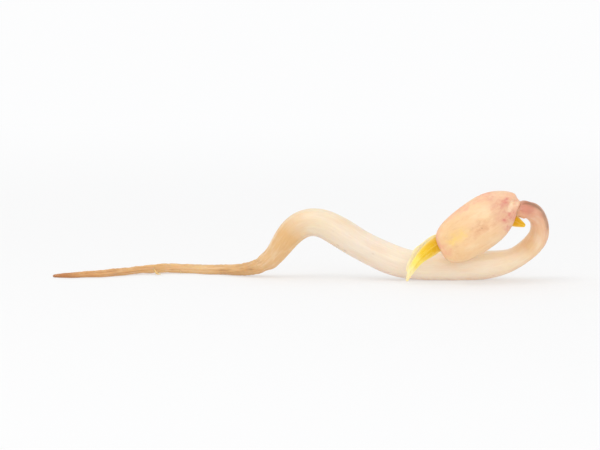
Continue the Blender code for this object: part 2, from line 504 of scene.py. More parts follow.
class Graph:
    """Lays out the nodes of one material."""

    def __init__(self, name: str) -> None:
        """Start a material that has only its shader.

        Args:
            name: The material's name.
        """
        self.material = bpy.data.materials.new(name)
        self.material.use_nodes = True
        self.nodes = self.material.node_tree.nodes
        self.links = self.material.node_tree.links
        self.shader = self.nodes["Principled BSDF"]

    def add(self, kind: str, inputs: dict, **settings: object) -> bpy.types.Node:
        """Add a node.

        Args:
            kind: The node's type.
            inputs: A number, a colour or another node's output for each input.
            settings: The node's own settings.

        Returns:
            The node.
        """
        node = self.nodes.new(kind)
        for key, value in settings.items():
            setattr(node, key, value)
        for key, value in inputs.items():
            if isinstance(value, Socket):
                self.links.new(value, node.inputs[key])
            else:
                node.inputs[key].default_value = value
        return node

    def read(self, name: str) -> Socket:
        """A number that the mesh holds at its points."""
        return self.add("ShaderNodeAttribute", {}, attribute_name=name).outputs["Fac"]

    def read_place(self, name: str) -> Socket:
        """A vector that the mesh holds at its points."""
        return self.add("ShaderNodeAttribute", {}, attribute_name=name).outputs["Vector"]

    def axis(self, place: Socket, number: int) -> Socket:
        """One coordinate of a place."""
        return self.add("ShaderNodeSeparateXYZ", {0: place}).outputs[number]

    def sums(self, operation: str, *values: float | Socket) -> Socket:
        """Arithmetic on one to three numbers."""
        node = self.add("ShaderNodeMath", dict(enumerate(values)), operation=operation)
        return node.outputs[0]

    def product(self, first: float | Socket, *others: float | Socket) -> Socket:
        """The product of two or more numbers, taken from left to right.

        Args:
            first: The first number.
            others: The others.

        Returns:
            The product.
        """
        for other in others:
            first = self.sums("MULTIPLY", first, other)
        return first

    def length(self, place: Socket) -> Socket:
        """The distance of a place from the middle: the root of the sum of its squares."""
        return self.add("ShaderNodeVectorMath", {0: place}, operation="LENGTH").outputs["Value"]

    def stretched(self, place: Socket, scale: Point, shift: Point = (0, 0, 0)) -> Socket:
        """A place scaled by its own factor along each axis, then moved."""
        inputs = {"Vector": place, "Scale": scale, "Location": shift}
        return self.add("ShaderNodeMapping", inputs).outputs[0]

    def noise_node(self, place: Socket, clouds: Clouds) -> bpy.types.Node:
        """The node of a cloudy noise.

        Args:
            place: Where it is read.
            clouds: The noise.

        Returns:
            The node, with a number and a colour as its outputs.
        """
        inputs = {"Vector": self.stretched(place, clouds.stretch, clouds.shift)}
        inputs |= {"Scale": clouds.scale, "Detail": clouds.detail, "Roughness": clouds.rough}
        return self.add("ShaderNodeTexNoise", inputs)

    def noise(self, place: Socket, clouds: Clouds) -> Socket:
        """Cloudy noise from 0 to 1."""
        return self.noise_node(place, clouds).outputs[0]

    def strayed(self, place: Socket, clouds: Clouds, reach: float) -> Socket:
        """A place moved about: in x and y by (2 x the noise's colour - 1) x the reach.

        Args:
            place: The place.
            clouds: The noise.
            reach: The furthest that it moves.

        Returns:
            The new place.
        """
        colour = self.noise_node(place, clouds).outputs["Color"]
        sway = self.stretched(colour, (2 * reach, 2 * reach, 0), (-reach, -reach, 0))
        return self.add("ShaderNodeVectorMath", {0: place, 1: sway}, operation="ADD").outputs[0]

    def band(self, value: Socket, low: float, high: float, least: float = 0, most: float = 1) -> Socket:
        """A smooth step of a number.

        Args:
            value: The number.
            low: Where the step starts.
            high: Where it ends.
            least: Result at its start.
            most: Result at its end.

        Returns:
            The step.
        """
        inputs = {0: value, 1: low, 2: high, 3: least, 4: most}
        return self.add("ShaderNodeMapRange", inputs, interpolation_type="SMOOTHSTEP").outputs[0]

    def blend(self, share: float | Socket, base: Colour | Socket, over: Colour | Socket) -> Socket:
        """One colour laid over another.

        Args:
            share: How much of the upper colour shows.
            base: The lower colour.
            over: The upper colour.

        Returns:
            The colour.
        """
        inputs = {0: share, 6: base, 7: over}
        return self.add("ShaderNodeMix", inputs, data_type="RGBA", clamp_factor=True).outputs[2]

    def washed(self, colour: Socket, layers: dict[Layer, Socket], washes: Sequence[Wash]) -> Socket:
        """A colour with tints laid over it one after another.

        Args:
            colour: The colour.
            layers: The noise layers.
            washes: The tints.

        Returns:
            The new colour.
        """
        for wash in washes:
            share = self.band(layers[wash.layer], wash.none_at, wash.most_at, 0, wash.most)
            colour = self.blend(share, colour, wash.tint)
        return colour

    def ramp(self, value: Socket, stops: Stops) -> Socket:
        """A colour that changes along a number.

        Args:
            value: The number, from 0 to 1.
            stops: Places with their colours, in order.

        Returns:
            The colour.
        """
        node = self.add("ShaderNodeValToRGB", {0: value})
        node.color_ramp.interpolation = "EASE"
        fill_ramp(node.color_ramp, stops)
        return node.outputs[0]

    def spot(self, place: Socket, centre: Point, size: Point) -> Socket:
        """An oval patch: 1 in its middle, fading to 0 at its edge.

        Args:
            place: Where it is read.
            centre: Its middle.
            size: Its half widths.

        Returns:
            The patch, from 0 to 1.
        """
        scale = tuple(1 / value for value in size)
        shift = tuple(-c * s for c, s in zip(centre, scale, strict=True))
        return self.band(self.length(self.stretched(place, scale, shift)), 1.0, 0.0)

    def flecks(self, place: Socket, scale: float, size: float, share: float) -> Socket:
        """Scattered round flecks, on a share of the cells of a Voronoi pattern.

        Args:
            place: Where they are read.
            scale: Cells per length.
            size: A fleck's radius, in cells.
            share: Part of the cells that hold one.

        Returns:
            1 on a fleck and 0 off it.
        """
        cells = self.add("ShaderNodeTexVoronoi", {"Vector": place, "Scale": scale})
        chosen = self.add("ShaderNodeSeparateColor", {0: cells.outputs["Color"]}).outputs[0]
        held = self.band(chosen, 1 - share, 1 - share + 0.04)
        return self.product(held, self.band(cells.outputs["Distance"], size, size * 0.35))

    def relief(self, *layers: tuple[Socket, float]) -> None:
        """Give the shader bumps, laid one over another.

        Args:
            layers: Heights with their depths in millimetres.
        """
        normal = None
        for height, depth in layers:
            inputs = {"Height": height, "Strength": 1.0, "Distance": depth * MM}
            if normal is not None:
                inputs["Normal"] = normal
            normal = self.add("ShaderNodeBump", inputs).outputs[0]
        self.links.new(normal, self.shader.inputs["Normal"])

    def finish(self, colour: Socket, rough: Socket, flesh: Flesh) -> bpy.types.Material:
        """Feed the shader.

        Args:
            colour: The surface's colour.
            rough: Its roughness.
            flesh: How it takes light, the same all over.

        Returns:
            The material.
        """
        self.links.new(colour, self.shader.inputs["Base Color"])
        self.links.new(rough, self.shader.inputs["Roughness"])
        for name, value in (
            ("Subsurface Weight", flesh.glow),
            ("Subsurface Radius", flesh.spread),
            ("Subsurface Scale", flesh.depth * MM),
            ("Coat Weight", flesh.film),
            ("Coat Roughness", flesh.film_rough),
            ("Specular IOR Level", flesh.shine),
            ("IOR", flesh.refraction),
        ):
            self.shader.inputs[name].default_value = value
        return self.material


# ---------------------------------------------------------------- finishes


@dataclass(frozen=True)
class StemFinish:
    """Moist stem skin: mauve at the hook, ivory along the stem, tan on the root."""

    name: str = "stem_skin"
    tones: tuple[tuple[Point, Colour], ...] = (
        ((4.35, -3.36, 7.86), tone(222, 196, 120)),
        ((5.90, -3.32, 8.46), tone(233, 182, 148)),
        ((7.15, -2.80, 8.36), tone(232, 186, 150)),
        ((8.06, -1.62, 7.36), tone(236, 194, 154)),
        # the hook's side is a little darker here, partly painted shade
        ((8.44, -0.25, 5.46), tone(238, 203, 162)),
        ((7.62, 0.55, 3.32), tone(238, 205, 163)),
        ((5.50, 0.40, 1.85), tone(244, 224, 194)),
        ((1.10, 0.00, 1.55), tone(246, 230, 207)),
        ((-5.50, 0.00, 1.55), tone(240, 225, 205)),
        ((-12.60, 0.36, 4.20), tone(235, 221, 202)),
        ((-16.80, 0.80, 6.66), tone(234, 217, 190)),
        # the tan where the arch comes down to the collar is partly the flesh's colour and partly
        # painted shade
        ((-20.30, 1.55, 5.00), tone(224, 182, 126)),
        ((-22.50, 2.40, 1.78), tone(222, 184, 134)),
        ((-24.50, 3.15, 0.82), tone(210, 166, 112)),
        ((-30.20, 5.65, 0.46), tone(220, 182, 130)),
        ((-36.40, 5.60, 0.62), tone(214, 172, 118)),
        ((-41.90, 2.45, 0.34), tone(206, 158, 102)),
        ((-46.40, 1.95, 0.22), tone(176, 120, 70)),
        ((-47.30, 2.15, 0.16), tone(140, 84, 46)),
    )
    # mauve: the hook's own colour, also laid as painted shade on the bend's outside and under the stem
    mauve: Colour = tone(212, 146, 122)
    # dull skin colour of the hook's back, also laid as a line of painted shadow along its edge
    green_grey: Colour = tone(146, 100, 66)
    # painted shade inside the hook
    shade: Colour = tone(214, 166, 108)
    painted_shade_share: float = 0.18
    streak: Colour = tone(166, 112, 62)
    fleck: Colour = tone(150, 96, 52)
    washes: tuple[Wash, ...] = (
        Wash(Layer.CLOUDS, 0.50, 0.72, 0.26, tone(226, 186, 132)),
        Wash(Layer.CLOUDS, 0.46, 0.28, 0.35, tone(252, 243, 224)),
        Wash(Layer.FIBRES, 0.52, 0.74, 0.20, tone(252, 243, 224)),
    )
    wander: Clouds = Clouds(scale=0.35)
    clouds: Clouds = Clouds((1, 1, 0.3), 0.6, 4, 0.55)
    fibres: Clouds = Clouds((5.5, 5.5, 0.22), 1.0, 3, 0.6)
    threads: Clouds = Clouds((14, 14, 0.7), 1.0, 2, 0.5, (3, 1, 7))
    cells: Clouds = Clouds((1, 1, 0.4), 16.0, 2, 0.6)
    uneven: Clouds = Clouds(scale=0.8, detail=4, rough=0.6)
    ragged: Clouds = Clouds((3.2, 3.2, 1.1), 1.0, 4, 0.6)
    flesh: Flesh = Flesh(0.6, (1.0, 0.72, 0.42), 1.1, film=0.22, film_rough=0.24)

    def make(self, locate: Callable[[Point], float]) -> bpy.types.Material:
        """Lay out the finish.

        The tones change along the growth, at places that wander a little. Washes, streaks, the
        painted shade inside the hook, the mauve with its painted shade, the dull colour with its
        partly painted shadow line, and flecks are laid over them in that order.
        Streaks and flecks are stronger on the root.

        Args:
            locate: Gives the share of the route's length at a point of it.

        Returns:
            The material.
        """
        graph = Graph(self.name)
        grain, root = graph.read_place("grain"), graph.read("root")
        wander = graph.band(graph.noise(grain, self.wander), 0.0, 1.0, -0.012, 0.012)
        place = graph.sums("ADD", graph.read("share"), wander)
        colour = graph.ramp(place, [(locate(point), shade) for point, shade in self.tones])
        clouds, fibres = graph.noise(grain, self.clouds), graph.noise(grain, self.fibres)
        threads, cells = graph.noise(grain, self.threads), graph.noise(grain, self.cells)
        colour = graph.washed(colour, {Layer.CLOUDS: clouds, Layer.FIBRES: fibres}, self.washes)
        coarse = graph.product(graph.band(fibres, 0.48, 0.26), graph.band(root, 0, 1, 0.06, 0.62))
        fine = graph.product(graph.band(threads, 0.50, 0.30), graph.band(root, 0, 1, 0.05, 0.4))
        uneven = graph.band(graph.noise(grain, self.uneven), 0.30, 0.68, 0.35, 1.2)
        ragged = graph.band(graph.noise(grain, self.ragged), 0.30, 0.66, 0.45, 0.9)
        flecks = graph.flecks(graph.stretched(grain, (1, 1, 0.6)), 0.9, 0.16, 0.30)
        for share, tint in (
            (coarse, self.streak),
            (fine, self.streak),
            # painted shade inside the hook
            (graph.product(graph.read("inner"), self.painted_shade_share), self.shade),
            # mauve, with painted shade on the bend's outside and under the stem
            (graph.product(graph.read("blush"), uneven), self.mauve),
            # dull colour on the hook's back, with a line partly painted as shadow
            (graph.product(graph.read("tinge"), ragged), self.green_grey),
            (graph.product(flecks, graph.band(root, 0, 1, 0.18, 0.55)), self.fleck),
        ):
            colour = graph.blend(share, colour, tint)
        moist, dry = graph.band(clouds, 0.3, 0.7, 0.34, 0.46), graph.band(root, 0, 1, 0, 0.14)
        graph.relief((clouds, 0.05), (fibres, 0.035), (threads, 0.012), (cells, 0.006))
        return graph.finish(colour, graph.sums("ADD", moist, dry), self.flesh)


class Tint(Enum):
    """A seed leaf's patch tints."""

    MAUVE = tone(214, 124, 116)
    ROSE = tone(236, 170, 142)
    GOLD = tone(247, 210, 124)
    BRUISE = tone(214, 152, 110)
    CREAM = tone(252, 226, 190)


@dataclass(frozen=True)
class Patch:
    """A soft oval patch on a seed leaf: tint, middle, half widths and strength."""

    tint: Tint
    u: float
    v: float
    long: float
    wide: float
    strength: float


@dataclass(frozen=True)
class SeedFinish:
    """Seed leaf flesh: peach outside with mauve spots by the base, pale inside."""

    name: str
    patches: tuple[Patch, ...]
    peach: Colour = tone(240, 202, 158)
    blunt: Colour = tone(240, 201, 152)
    base: Colour = tone(236, 194, 158)
    inside: Colour = tone(246, 222, 176)
    fleck: Colour = tone(158, 98, 70)
    washes: tuple[Wash, ...] = (
        Wash(Layer.CLOUDS, 0.50, 0.72, 0.55, tone(246, 216, 177)),
        Wash(Layer.CLOUDS, 0.48, 0.28, 0.40, tone(224, 176, 128)),
        Wash(Layer.FIBRES, 0.54, 0.76, 0.45, tone(246, 216, 177)),
        Wash(Layer.FIBRES, 0.46, 0.26, 0.42, tone(224, 176, 128)),
    )
    sway: Clouds = Clouds(scale=1.1, detail=4)
    reach: float = 0.75             # how far the patches' edges stray, mm
    clouds: Clouds = Clouds((0.6, 1, 1), 0.7, 4, 0.55)
    fibres: Clouds = Clouds((0.35, 3.2, 3.2), 1.0, 4, 0.6)
    skin: Clouds = Clouds(scale=5.0, detail=4, rough=0.6)
    cells: Clouds = Clouds(scale=14.0, detail=2, rough=0.6)
    mottle: Clouds = Clouds((0.8, 1, 1), 1.5, 4, 0.65)
    flush: Clouds = Clouds(scale=0.6)
    flesh: Flesh = Flesh(0.35, (1.0, 0.6, 0.34), 0.6, film=0.1)

    def make(self) -> bpy.types.Material:
        """Lay out the finish.

        The outer face goes from the base's tone to the blunt end's. Washes, the mottled
        patches and a rosy flush on the upper rim are laid over it. The inner face is paler.

        Returns:
            The material.
        """
        graph = Graph(self.name)
        place, outer = graph.read_place("place"), graph.read("outer")
        strayed = graph.strayed(place, self.sway, self.reach)
        share = graph.band(graph.axis(strayed, 0), -5.0, 5.0)
        colour = graph.ramp(share, [(0.0, self.base), (0.45, self.peach), (1.0, self.blunt)])
        clouds, fibres = graph.noise(place, self.clouds), graph.noise(place, self.fibres)
        skin, cells = graph.noise(place, self.skin), graph.noise(place, self.cells)
        colour = graph.washed(colour, {Layer.CLOUDS: clouds, Layer.FIBRES: fibres}, self.washes)
        mottle = graph.band(graph.noise(place, self.mottle), 0.34, 0.60, 0.25, 1.15)
        uneven = graph.product(mottle, graph.band(fibres, 0.30, 0.62, 0.55, 1.1))
        for patch in self.patches:
            oval = graph.spot(strayed, (patch.u, patch.v, 0), (patch.long, patch.wide, ANY_DEPTH))
            share = graph.product(oval, outer, patch.strength, uneven)
            colour = graph.blend(share, colour, patch.tint.value)
        flush = graph.band(graph.noise(place, self.flush), 0.38, 0.66, 0.0, 0.7)
        upper = graph.band(graph.axis(strayed, 1), 1.9, 0.9, 0.1, 1.0)
        rim = graph.product(graph.read("edge"), flush, upper)
        colour = graph.blend(rim, colour, Tint.ROSE.value)
        inside = graph.blend(graph.band(fibres, 0.4, 0.7), self.inside, self.peach)
        colour = graph.blend(outer, inside, colour)
        flecks = graph.product(graph.flecks(place, 1.1, 0.13, 0.22), 0.35)
        colour = graph.blend(flecks, colour, self.fleck)
        graph.relief((clouds, 0.08), (fibres, 0.04), (skin, 0.02), (cells, 0.006))
        return graph.finish(colour, graph.band(skin, 0.3, 0.7, 0.38, 0.52), self.flesh)


@dataclass(frozen=True)
class LeafFinish:
    """Young leaf tissue: its own tones from base to tip, with pale veins and a pale margin."""

    name: str
    tones: Stops
    deep: Colour
    vein: Colour = tone(254, 236, 150)
    pale: Colour = tone(253, 236, 176)
    wander: Clouds = Clouds()
    sway: Clouds = Clouds(scale=1.2, detail=2)
    fibres: Clouds = Clouds((0.6, 6, 6), 1.0, 3, 0.6)
    cells: Clouds = Clouds(scale=12.0, detail=2, rough=0.6)
    vein_pitch: float = 0.42        # half the way from one side vein to the next, mm
    vein_lean: float = 0.9          # how far they lean to the tip, per length off the midrib
    flesh: Flesh = Flesh(0.3, (1.0, 0.8, 0.25), 0.25, refraction=1.4, shine=0.3)

    def make(self) -> bpy.types.Material:
        """Lay out the finish.

        The side veins are where a zigzag of the run, less the lean x the distance off the
        midrib, comes near 0. They and the midrib are pale, and so is the margin.

        Returns:
            The material.
        """
        graph = Graph(self.name)
        blade = graph.read_place("blade")
        wander = graph.band(graph.noise(blade, self.wander), 0, 1, -0.03, 0.03)
        colour = graph.ramp(graph.sums("ADD", graph.read("share"), wander), self.tones)
        off_rib = graph.sums("ABSOLUTE", graph.axis(blade, 1))
        lean = graph.sums("SUBTRACT", graph.axis(blade, 0), graph.product(off_rib, self.vein_lean))
        swayed = graph.sums("ADD", lean, graph.noise(blade, self.sway))
        beat = graph.sums("PINGPONG", swayed, self.vein_pitch)
        veins = graph.product(graph.band(beat, 0.07, 0.0), graph.band(off_rib, 0.9, 0.2), 0.4)
        lines = graph.sums("MAXIMUM", veins, graph.band(off_rib, 0.08, 0.02, 0, 0.6))
        fibres, cells = graph.noise(blade, self.fibres), graph.noise(blade, self.cells)
        washes = (
            Wash(Layer.FIBRES, 0.5, 0.75, 0.34, self.pale),
            Wash(Layer.FIBRES, 0.48, 0.28, 0.30, self.deep),
        )
        colour = graph.washed(colour, {Layer.FIBRES: fibres}, washes)
        colour = graph.blend(graph.product(lines, 0.28), colour, self.vein)
        colour = graph.blend(graph.product(graph.read("edge"), 0.6), colour, self.pale)
        graph.relief((lines, 0.012), (fibres, 0.02), (cells, 0.006))
        return graph.finish(colour, graph.band(cells, 0.3, 0.7, 0.42, 0.56), self.flesh)


@dataclass(frozen=True)
class FloorFinish:
    """Pale matt surface that fades into the even light of the surroundings."""

    name: str = "pale_surface"
    shade: Colour = (0.87, 0.87, 0.87, 1.0)
    far: Colour = (0.980, 0.982, 0.986, 1.0)
    rough: float = 0.75
    shine: float = 0.2
    own_light: float = 0.42         # share of its light that the surface gives off itself
    fade_from: float = 0.045
    fade_to: float = 0.20

    def make(self) -> bpy.types.Material:
        """Lay out the finish: the far light takes over as the distance from the middle grows.

        Returns:
            The material.
        """
        graph = Graph(self.name)
        graph.shader.inputs["Base Color"].default_value = self.shade
        graph.shader.inputs["Roughness"].default_value = self.rough
        graph.shader.inputs["Specular IOR Level"].default_value = self.shine
        place = graph.add("ShaderNodeTexCoord", {}).outputs["Object"]
        share = graph.band(graph.length(place), self.fade_from, self.fade_to, self.own_light)
        light = graph.add("ShaderNodeEmission", {"Color": self.far, "Strength": 1.0}).outputs[0]
        mix = graph.add("ShaderNodeMixShader", {0: share, 1: graph.shader.outputs[0], 2: light})
        graph.links.new(mix.outputs[0], graph.nodes["Material Output"].inputs["Surface"])
        return graph.material


# ---------------------------------------------------------------- stem and roots


STEM_BOX_MIDDLE = (-18.992, 1.944, 0.0)     # of the stem with its roots, own frame, mm
FLOOR_SOFTNESS = 0.06     # how softly flesh is pressed onto the surface, mm


def settled(points: Array) -> Array:
    """Press points softly onto the surface: z becomes (z + root of z^2 + softness^2) / 2."""
    low = (points[..., 2] + np.sqrt(points[..., 2] ** 2 + FLOOR_SOFTNESS**2)) / 2
    return np.concatenate([points[..., :2], low[..., None]], axis=-1)


@dataclass
class Stem:
    """The growing tip, node, hook, stem, collar and root, one growth from end to end."""

    controls: tuple[Control, ...] = (
        (4.35, -3.36, 7.86, 0.24),     # growing tip between the seed leaves
        (5.05, -3.36, 8.20, 0.55),
        (5.90, -3.32, 8.46, 0.98),     # node
        (7.15, -2.80, 8.36, 1.02),     # hook
        (8.06, -1.62, 7.36, 1.02),
        (8.44, -0.25, 5.46, 1.08),
        (7.60, 0.44, 3.90, 1.17),
        (5.82, 0.44, 2.50, 1.21),
        (4.52, 0.26, 2.03, 1.36),
        (3.20, 0.10, 1.78, 1.52),
        (1.10, 0.00, 1.60, 1.64),      # resting stretch
        (-1.10, 0.00, 1.55, 1.68),
        (-3.30, 0.00, 1.55, 1.68),
        (-5.50, 0.00, 1.55, 1.68),
        (-7.80, 0.08, 1.98, 1.69),
        (-10.30, 0.20, 3.05, 1.70),    # arch
        (-12.60, 0.36, 4.20, 1.72),
        (-14.80, 0.55, 5.65, 1.70),
        (-16.80, 0.80, 6.66, 1.66),
        (-18.80, 1.15, 6.40, 1.56),
        (-20.30, 1.55, 5.00, 1.42),
        (-21.30, 1.95, 3.36, 1.28),
        (-22.50, 2.40, 1.78, 1.08),    # collar
        (-24.50, 3.15, 0.82, 0.74),
        (-27.20, 4.35, 0.55, 0.60),    # root
        (-30.20, 5.65, 0.46, 0.55),
        (-33.40, 6.25, 0.55, 0.52),
        (-36.40, 5.60, 0.62, 0.49),
        (-39.20, 4.05, 0.42, 0.46),
        (-41.90, 2.45, 0.34, 0.42),
        (-44.30, 1.75, 0.30, 0.36),
        (-46.40, 1.95, 0.22, 0.26),
        (-47.30, 2.15, 0.16, 0.15),    # root tip
    )
    node: Point = (5.90, -3.32, 8.46)
    hook_side: Point = (8.44, -0.25, 5.46)
    bend_out: Point = (7.60, 0.44, 3.90)
    collar: Point = (-22.50, 2.40, 1.78)
    rest: Point = (-1.10, 0.00, 1.55)
    spacing: float = 0.085
    sides: int = 72
    cap: float = 0.22
    tight: float = 0.22          # bend that counts as a full one, turns of 1/mm
    meander: float = 0.09        # how far the root strays sideways
    swelling: float = 0.045      # share of the radius that the outline swells and shrinks
    ridge: float = 0.009         # share that the long ridges stand out
    rib: float = 0.0385          # share that the root's ribs stand out
    shrivel: float = 0.022       # share of the rings on the root
    collar_rim: Bell = Bell(0.0, 0.55, 0.07)        # shares of the radius
    collar_groove: Bell = Bell(1.0, 0.35, -0.08)
    collar_wander: float = 0.25
    collar_before: float = 0.8   # the root's look starts so far before the collar
    collar_after: float = 2.0    # and is full so far past it
    node_rim: Bell = Bell(0.35, 0.3, 0.05)
    node_waist: Bell = Bell(1.0, 0.3, -0.05)
    crease: float = 0.024        # depth of the creases inside the bends, mm
    crease_pitch: float = 0.62
    crease_wander: float = 2.2
    # painted shade on the outside of the bend's foot, laid in the mauve
    foot_painted_shade: Bell = Bell(-1.2, 2.6, 0.16)        # strengths of the mauve
    node_blush: Bell = Bell(0.20, 0.75, 0.42)
    # the hook's mauve on its outer side, partly painted shade
    side_blush_and_shade: Bell = Bell(0.0, 1.9, 0.18)
    hook_blush: float = 0.38
    outer_blush: float = 0.36    # more on the hook's outside, and less inside
    # painted warm shade along the underside
    under_painted_shade: float = 0.26
    back_tinge: float = 0.26     # strengths of the dull colour over the back, and of its line, partly painted shadow
    line_tinge_and_shadow: Bell = Bell(0.78, 0.19, 0.84)
    slow_waves: Ripples = Ripples(3, 7, (5, 17), (0, 2))
    ridge_waves: Ripples = Ripples(5, 10, (14, 45), (5, 11))
    rib_waves: Ripples = Ripples(8, 6, (4, 16), (3, 5))
    ring_waves: Ripples = Ripples(13, 8, (0.5, 1.7), (0, 2))
    collar_waves: Ripples = Ripples(21, 3, (40, 60), (1, 3))
    crease_waves: Ripples = Ripples(34, 5, (1.5, 4), (1, 3))
    side_waves: Ripples = Ripples(55, 4, (2.4, 6.5))
    route: Route = field(init=False)
    turn: Array = field(init=False)         # angles about the route
    run: Array = field(init=False)          # length along it, by ring
    node_run: float = field(init=False)     # length at the node, hook's side, foot and collar
    side_run: float = field(init=False)
    foot_run: float = field(init=False)
    collar_run: float = field(init=False)
    root: Array = field(init=False)         # 0 on the stem and 1 on the root, by ring
    outside: Array = field(init=False)      # how far each point faces the outside of the bend

    def __post_init__(self) -> None:
        """Lay the route, and the grid and marks that everything on the stem is placed by."""
        self.route = Route.through(self.controls, self.spacing, self.cap, (0, 0, 1), self.rest)
        self.turn, self.run = even_turn(self.sides), self.route.run[:, None]
        marks = (self.node, self.hook_side, self.bend_out, self.collar)
        self.node_run, self.side_run, self.foot_run, self.collar_run = map(self.route.run_at, marks)
        before, after = self.collar_run - self.collar_before, self.collar_run + self.collar_after
        self.root = ease(self.run, before, after)
        self.outside = self._outside()

    def share_at(self, point: Point) -> float:
        """The share of the whole length at the ring nearest to a point."""
        return self.route.run_at(point) / self.route.run[-1]

    def _waves(self, ripples: Ripples) -> Array:
        """Ripples by ring and angle."""
        return ripples.round_about(self.run, self.turn[None, :])

    def _facing(self, ways: Array) -> Array:
        """The cosine of each point's direction to its ring's way, by ring and angle."""
        return np.sum(self.route.directions(self.turn) * ways[:, None], axis=-1)

    def _outside(self) -> Array:
        """How far each point faces the outside of the bend: the bend's strength x its cosine.

        Returns:
            From -1 on the inside of a tight bend to 1 on its outside, by ring and angle.
        """
        bend = self.route.bend()
        strength = np.linalg.norm(bend, axis=1, keepdims=True)
        outward = -bend / np.maximum(strength, 1e-6)
        return self._facing(outward) * np.clip(strength / self.tight, 0, 1)

    def _back(self) -> Array:
        """How far each point faces the hook's back: the path less its Y part, a quarter turned.

        Returns:
            The cosine to that direction, by ring and angle.
        """
        tangent = self.route.tangent
        return self._facing(unit(np.stack([-tangent[:, 2], 0 * tangent[:, 1], tangent[:, 0]], axis=1)))

    def _creases(self) -> Array:
        """Depth of the creases: a short cosine along the run, kept to the inside of the bends.

        The cosine's phase and its strength follow ripples. There are no creases by the node or
        on the root.

        Returns:
            Depths by ring and angle.
        """
        waves, node = self._waves(self.crease_waves), self.node_run
        turns = math.tau * self.run / self.crease_pitch + self.crease_wander * waves
        depth = self.crease * np.cos(turns)
        depth = depth * ease(-self.outside, 0.3, 0.95) * ease(waves, -0.8, 1.6)
        return depth * ease(self.run, node + 1.0, node + 2.8) * (1 - self.root)

    def _reach(self) -> Array:
        """Distance from the centre line: the radius x (1 + swelling + ridges + ribs) - creases.

        Swelling is slow ripples, ridges are ripples with many turns about, ribs and rings are
        ripples kept to the root. The collar is a low bell-shaped rim before a groove, at a
        place that ripples about, and the node is a rim before a waist.

        Returns:
            Distances by ring and angle.
        """
        run, root = self.run, self.root
        collar = self.collar_run + self.collar_wander * self._waves(self.collar_waves)
        share = (
            self.swelling * (0.35 + 0.65 * root) * self._waves(self.slow_waves)
            + self.ridge * (1 - root) * self._waves(self.ridge_waves)
            + self.rib * root * self._waves(self.rib_waves)
            + self.shrivel * root * self._waves(self.ring_waves)
            + self.collar_rim.over(run, collar)
            + self.collar_groove.over(run, collar)
            + self.node_rim.over(run, self.node_run)
            + self.node_waist.over(run, self.node_run)
        )
        return self.route.radius[:, None] * (1 + share) - self._creases()

    def _strayed(self) -> Array:
        """The centre line with the root's slow waves to the side: ripples x its side vector.

        Returns:
            Points by ring, the same as the route's on the stem and at the root's tip.
        """
        waves = self.side_waves.round_about(self.run, np.zeros((1, 1)))
        away = self.meander * waves * self.root * ease(self.run[-1] - self.run, 0, 3)
        return self.route.path + away * unit(self.route.side * (1, 1, 0))

    def _blush_and_shade(self) -> Array:
        """Strength of the mauve and of painted shade: a sum of parts, each kept to its stretch of the
        stem.

        The hook's is stronger outside. Bells stand at the bend's foot, as painted shade on its
        outside, at the node, and at the hook's side, partly the hook's mauve and partly painted
        shade. The underside has painted warm shade from the foot to the root.

        Returns:
            Strengths by ring and angle.
        """
        run, node, foot = self.run, self.node_run, self.foot_run
        hook = ease(run, foot + 0.5, node + 1.2) * ease(run, node - 1.2, node)
        under = ease(-self.route.directions(self.turn)[..., 2], 0.50, 0.95) * (1 - self.root)
        return (
            hook * (self.hook_blush + self.outer_blush * self.outside)
            # painted shade on the outside of the bend's foot
            + self.foot_painted_shade.over(run, foot) * ease(self.outside, -0.1, 0.8)
            + self.node_blush.over(run, node)
            # the hook's mauve on its side, partly painted shade
            + self.side_blush_and_shade.over(run, self.side_run) * ease(self.outside, -0.2, 0.8)
            # painted warm shade along the underside
            + self.under_painted_shade * under * ease(run, foot - 3.0, foot - 0.5)
        )

    def _tinge_and_shadow(self) -> Array:
        """Strength of the dull colour on the hook's back: a wide step and a narrow bell across.

        The bell is a dark line along the hook's edge, partly its dull skin and partly painted shadow.

        Returns:
            Strengths by ring and angle, the bell's stronger on the near side.
        """
        back, near = self._back(), ease(-self.route.directions(self.turn)[..., 1], -0.3, 0.3)
        # a dark line along the hook's edge, partly dull skin and partly painted shadow, stronger on the
        # near side
        line = self.line_tinge_and_shadow.over(back) * (0.24 + 0.76 * near)
        across = self.back_tinge * ease(back, 0.20, 0.85) + line
        along = ease(self.run, self.side_run, self.side_run - 2.0)
        return along * ease(self.run, self.node_run - 0.3, self.node_run + 0.5) * across

    def _painted_inner_shade(self) -> Array:
        """Strength of the painted shade inside the hook: steps of the bend's inside and of the run.

        Returns:
            Strengths by ring and angle.
        """
        along = ease(self.run, self.foot_run + 4.5, self.foot_run + 1.0)
        along = along * ease(self.run, self.node_run, self.node_run + 1.5)
        return ease(-self.outside, 0.15, 0.95) * along

    def surface(self) -> Surface:
        """The whole growth as one tube carried along the route, pressed onto the surface.

        Returns:
            The surface, with the straightened place, the share of the length and the strength
            of the root's look, the mauve with its painted shade, the dull colour with its partly
            painted shadow line, and the painted inner shade at each point.
        """
        rings = settled(replace(self.route, path=self._strayed()).rings(self.turn, self._reach()))
        values = {
            "grain": self.route.straightened(self.turn),
            "share": np.broadcast_to(self.run / self.run[-1], rings.shape[:2]),
            "root": np.broadcast_to(self.root, rings.shape[:2]),
            # mauve, with painted shade on the bend and under the stem
            "blush": self._blush_and_shade(),
            # dull colour with a line partly painted as shadow
            "tinge": self._tinge_and_shadow(),
            # painted shade inside the hook
            "inner": self._painted_inner_shade(),
        }
        return Surface.closed(rings, values)


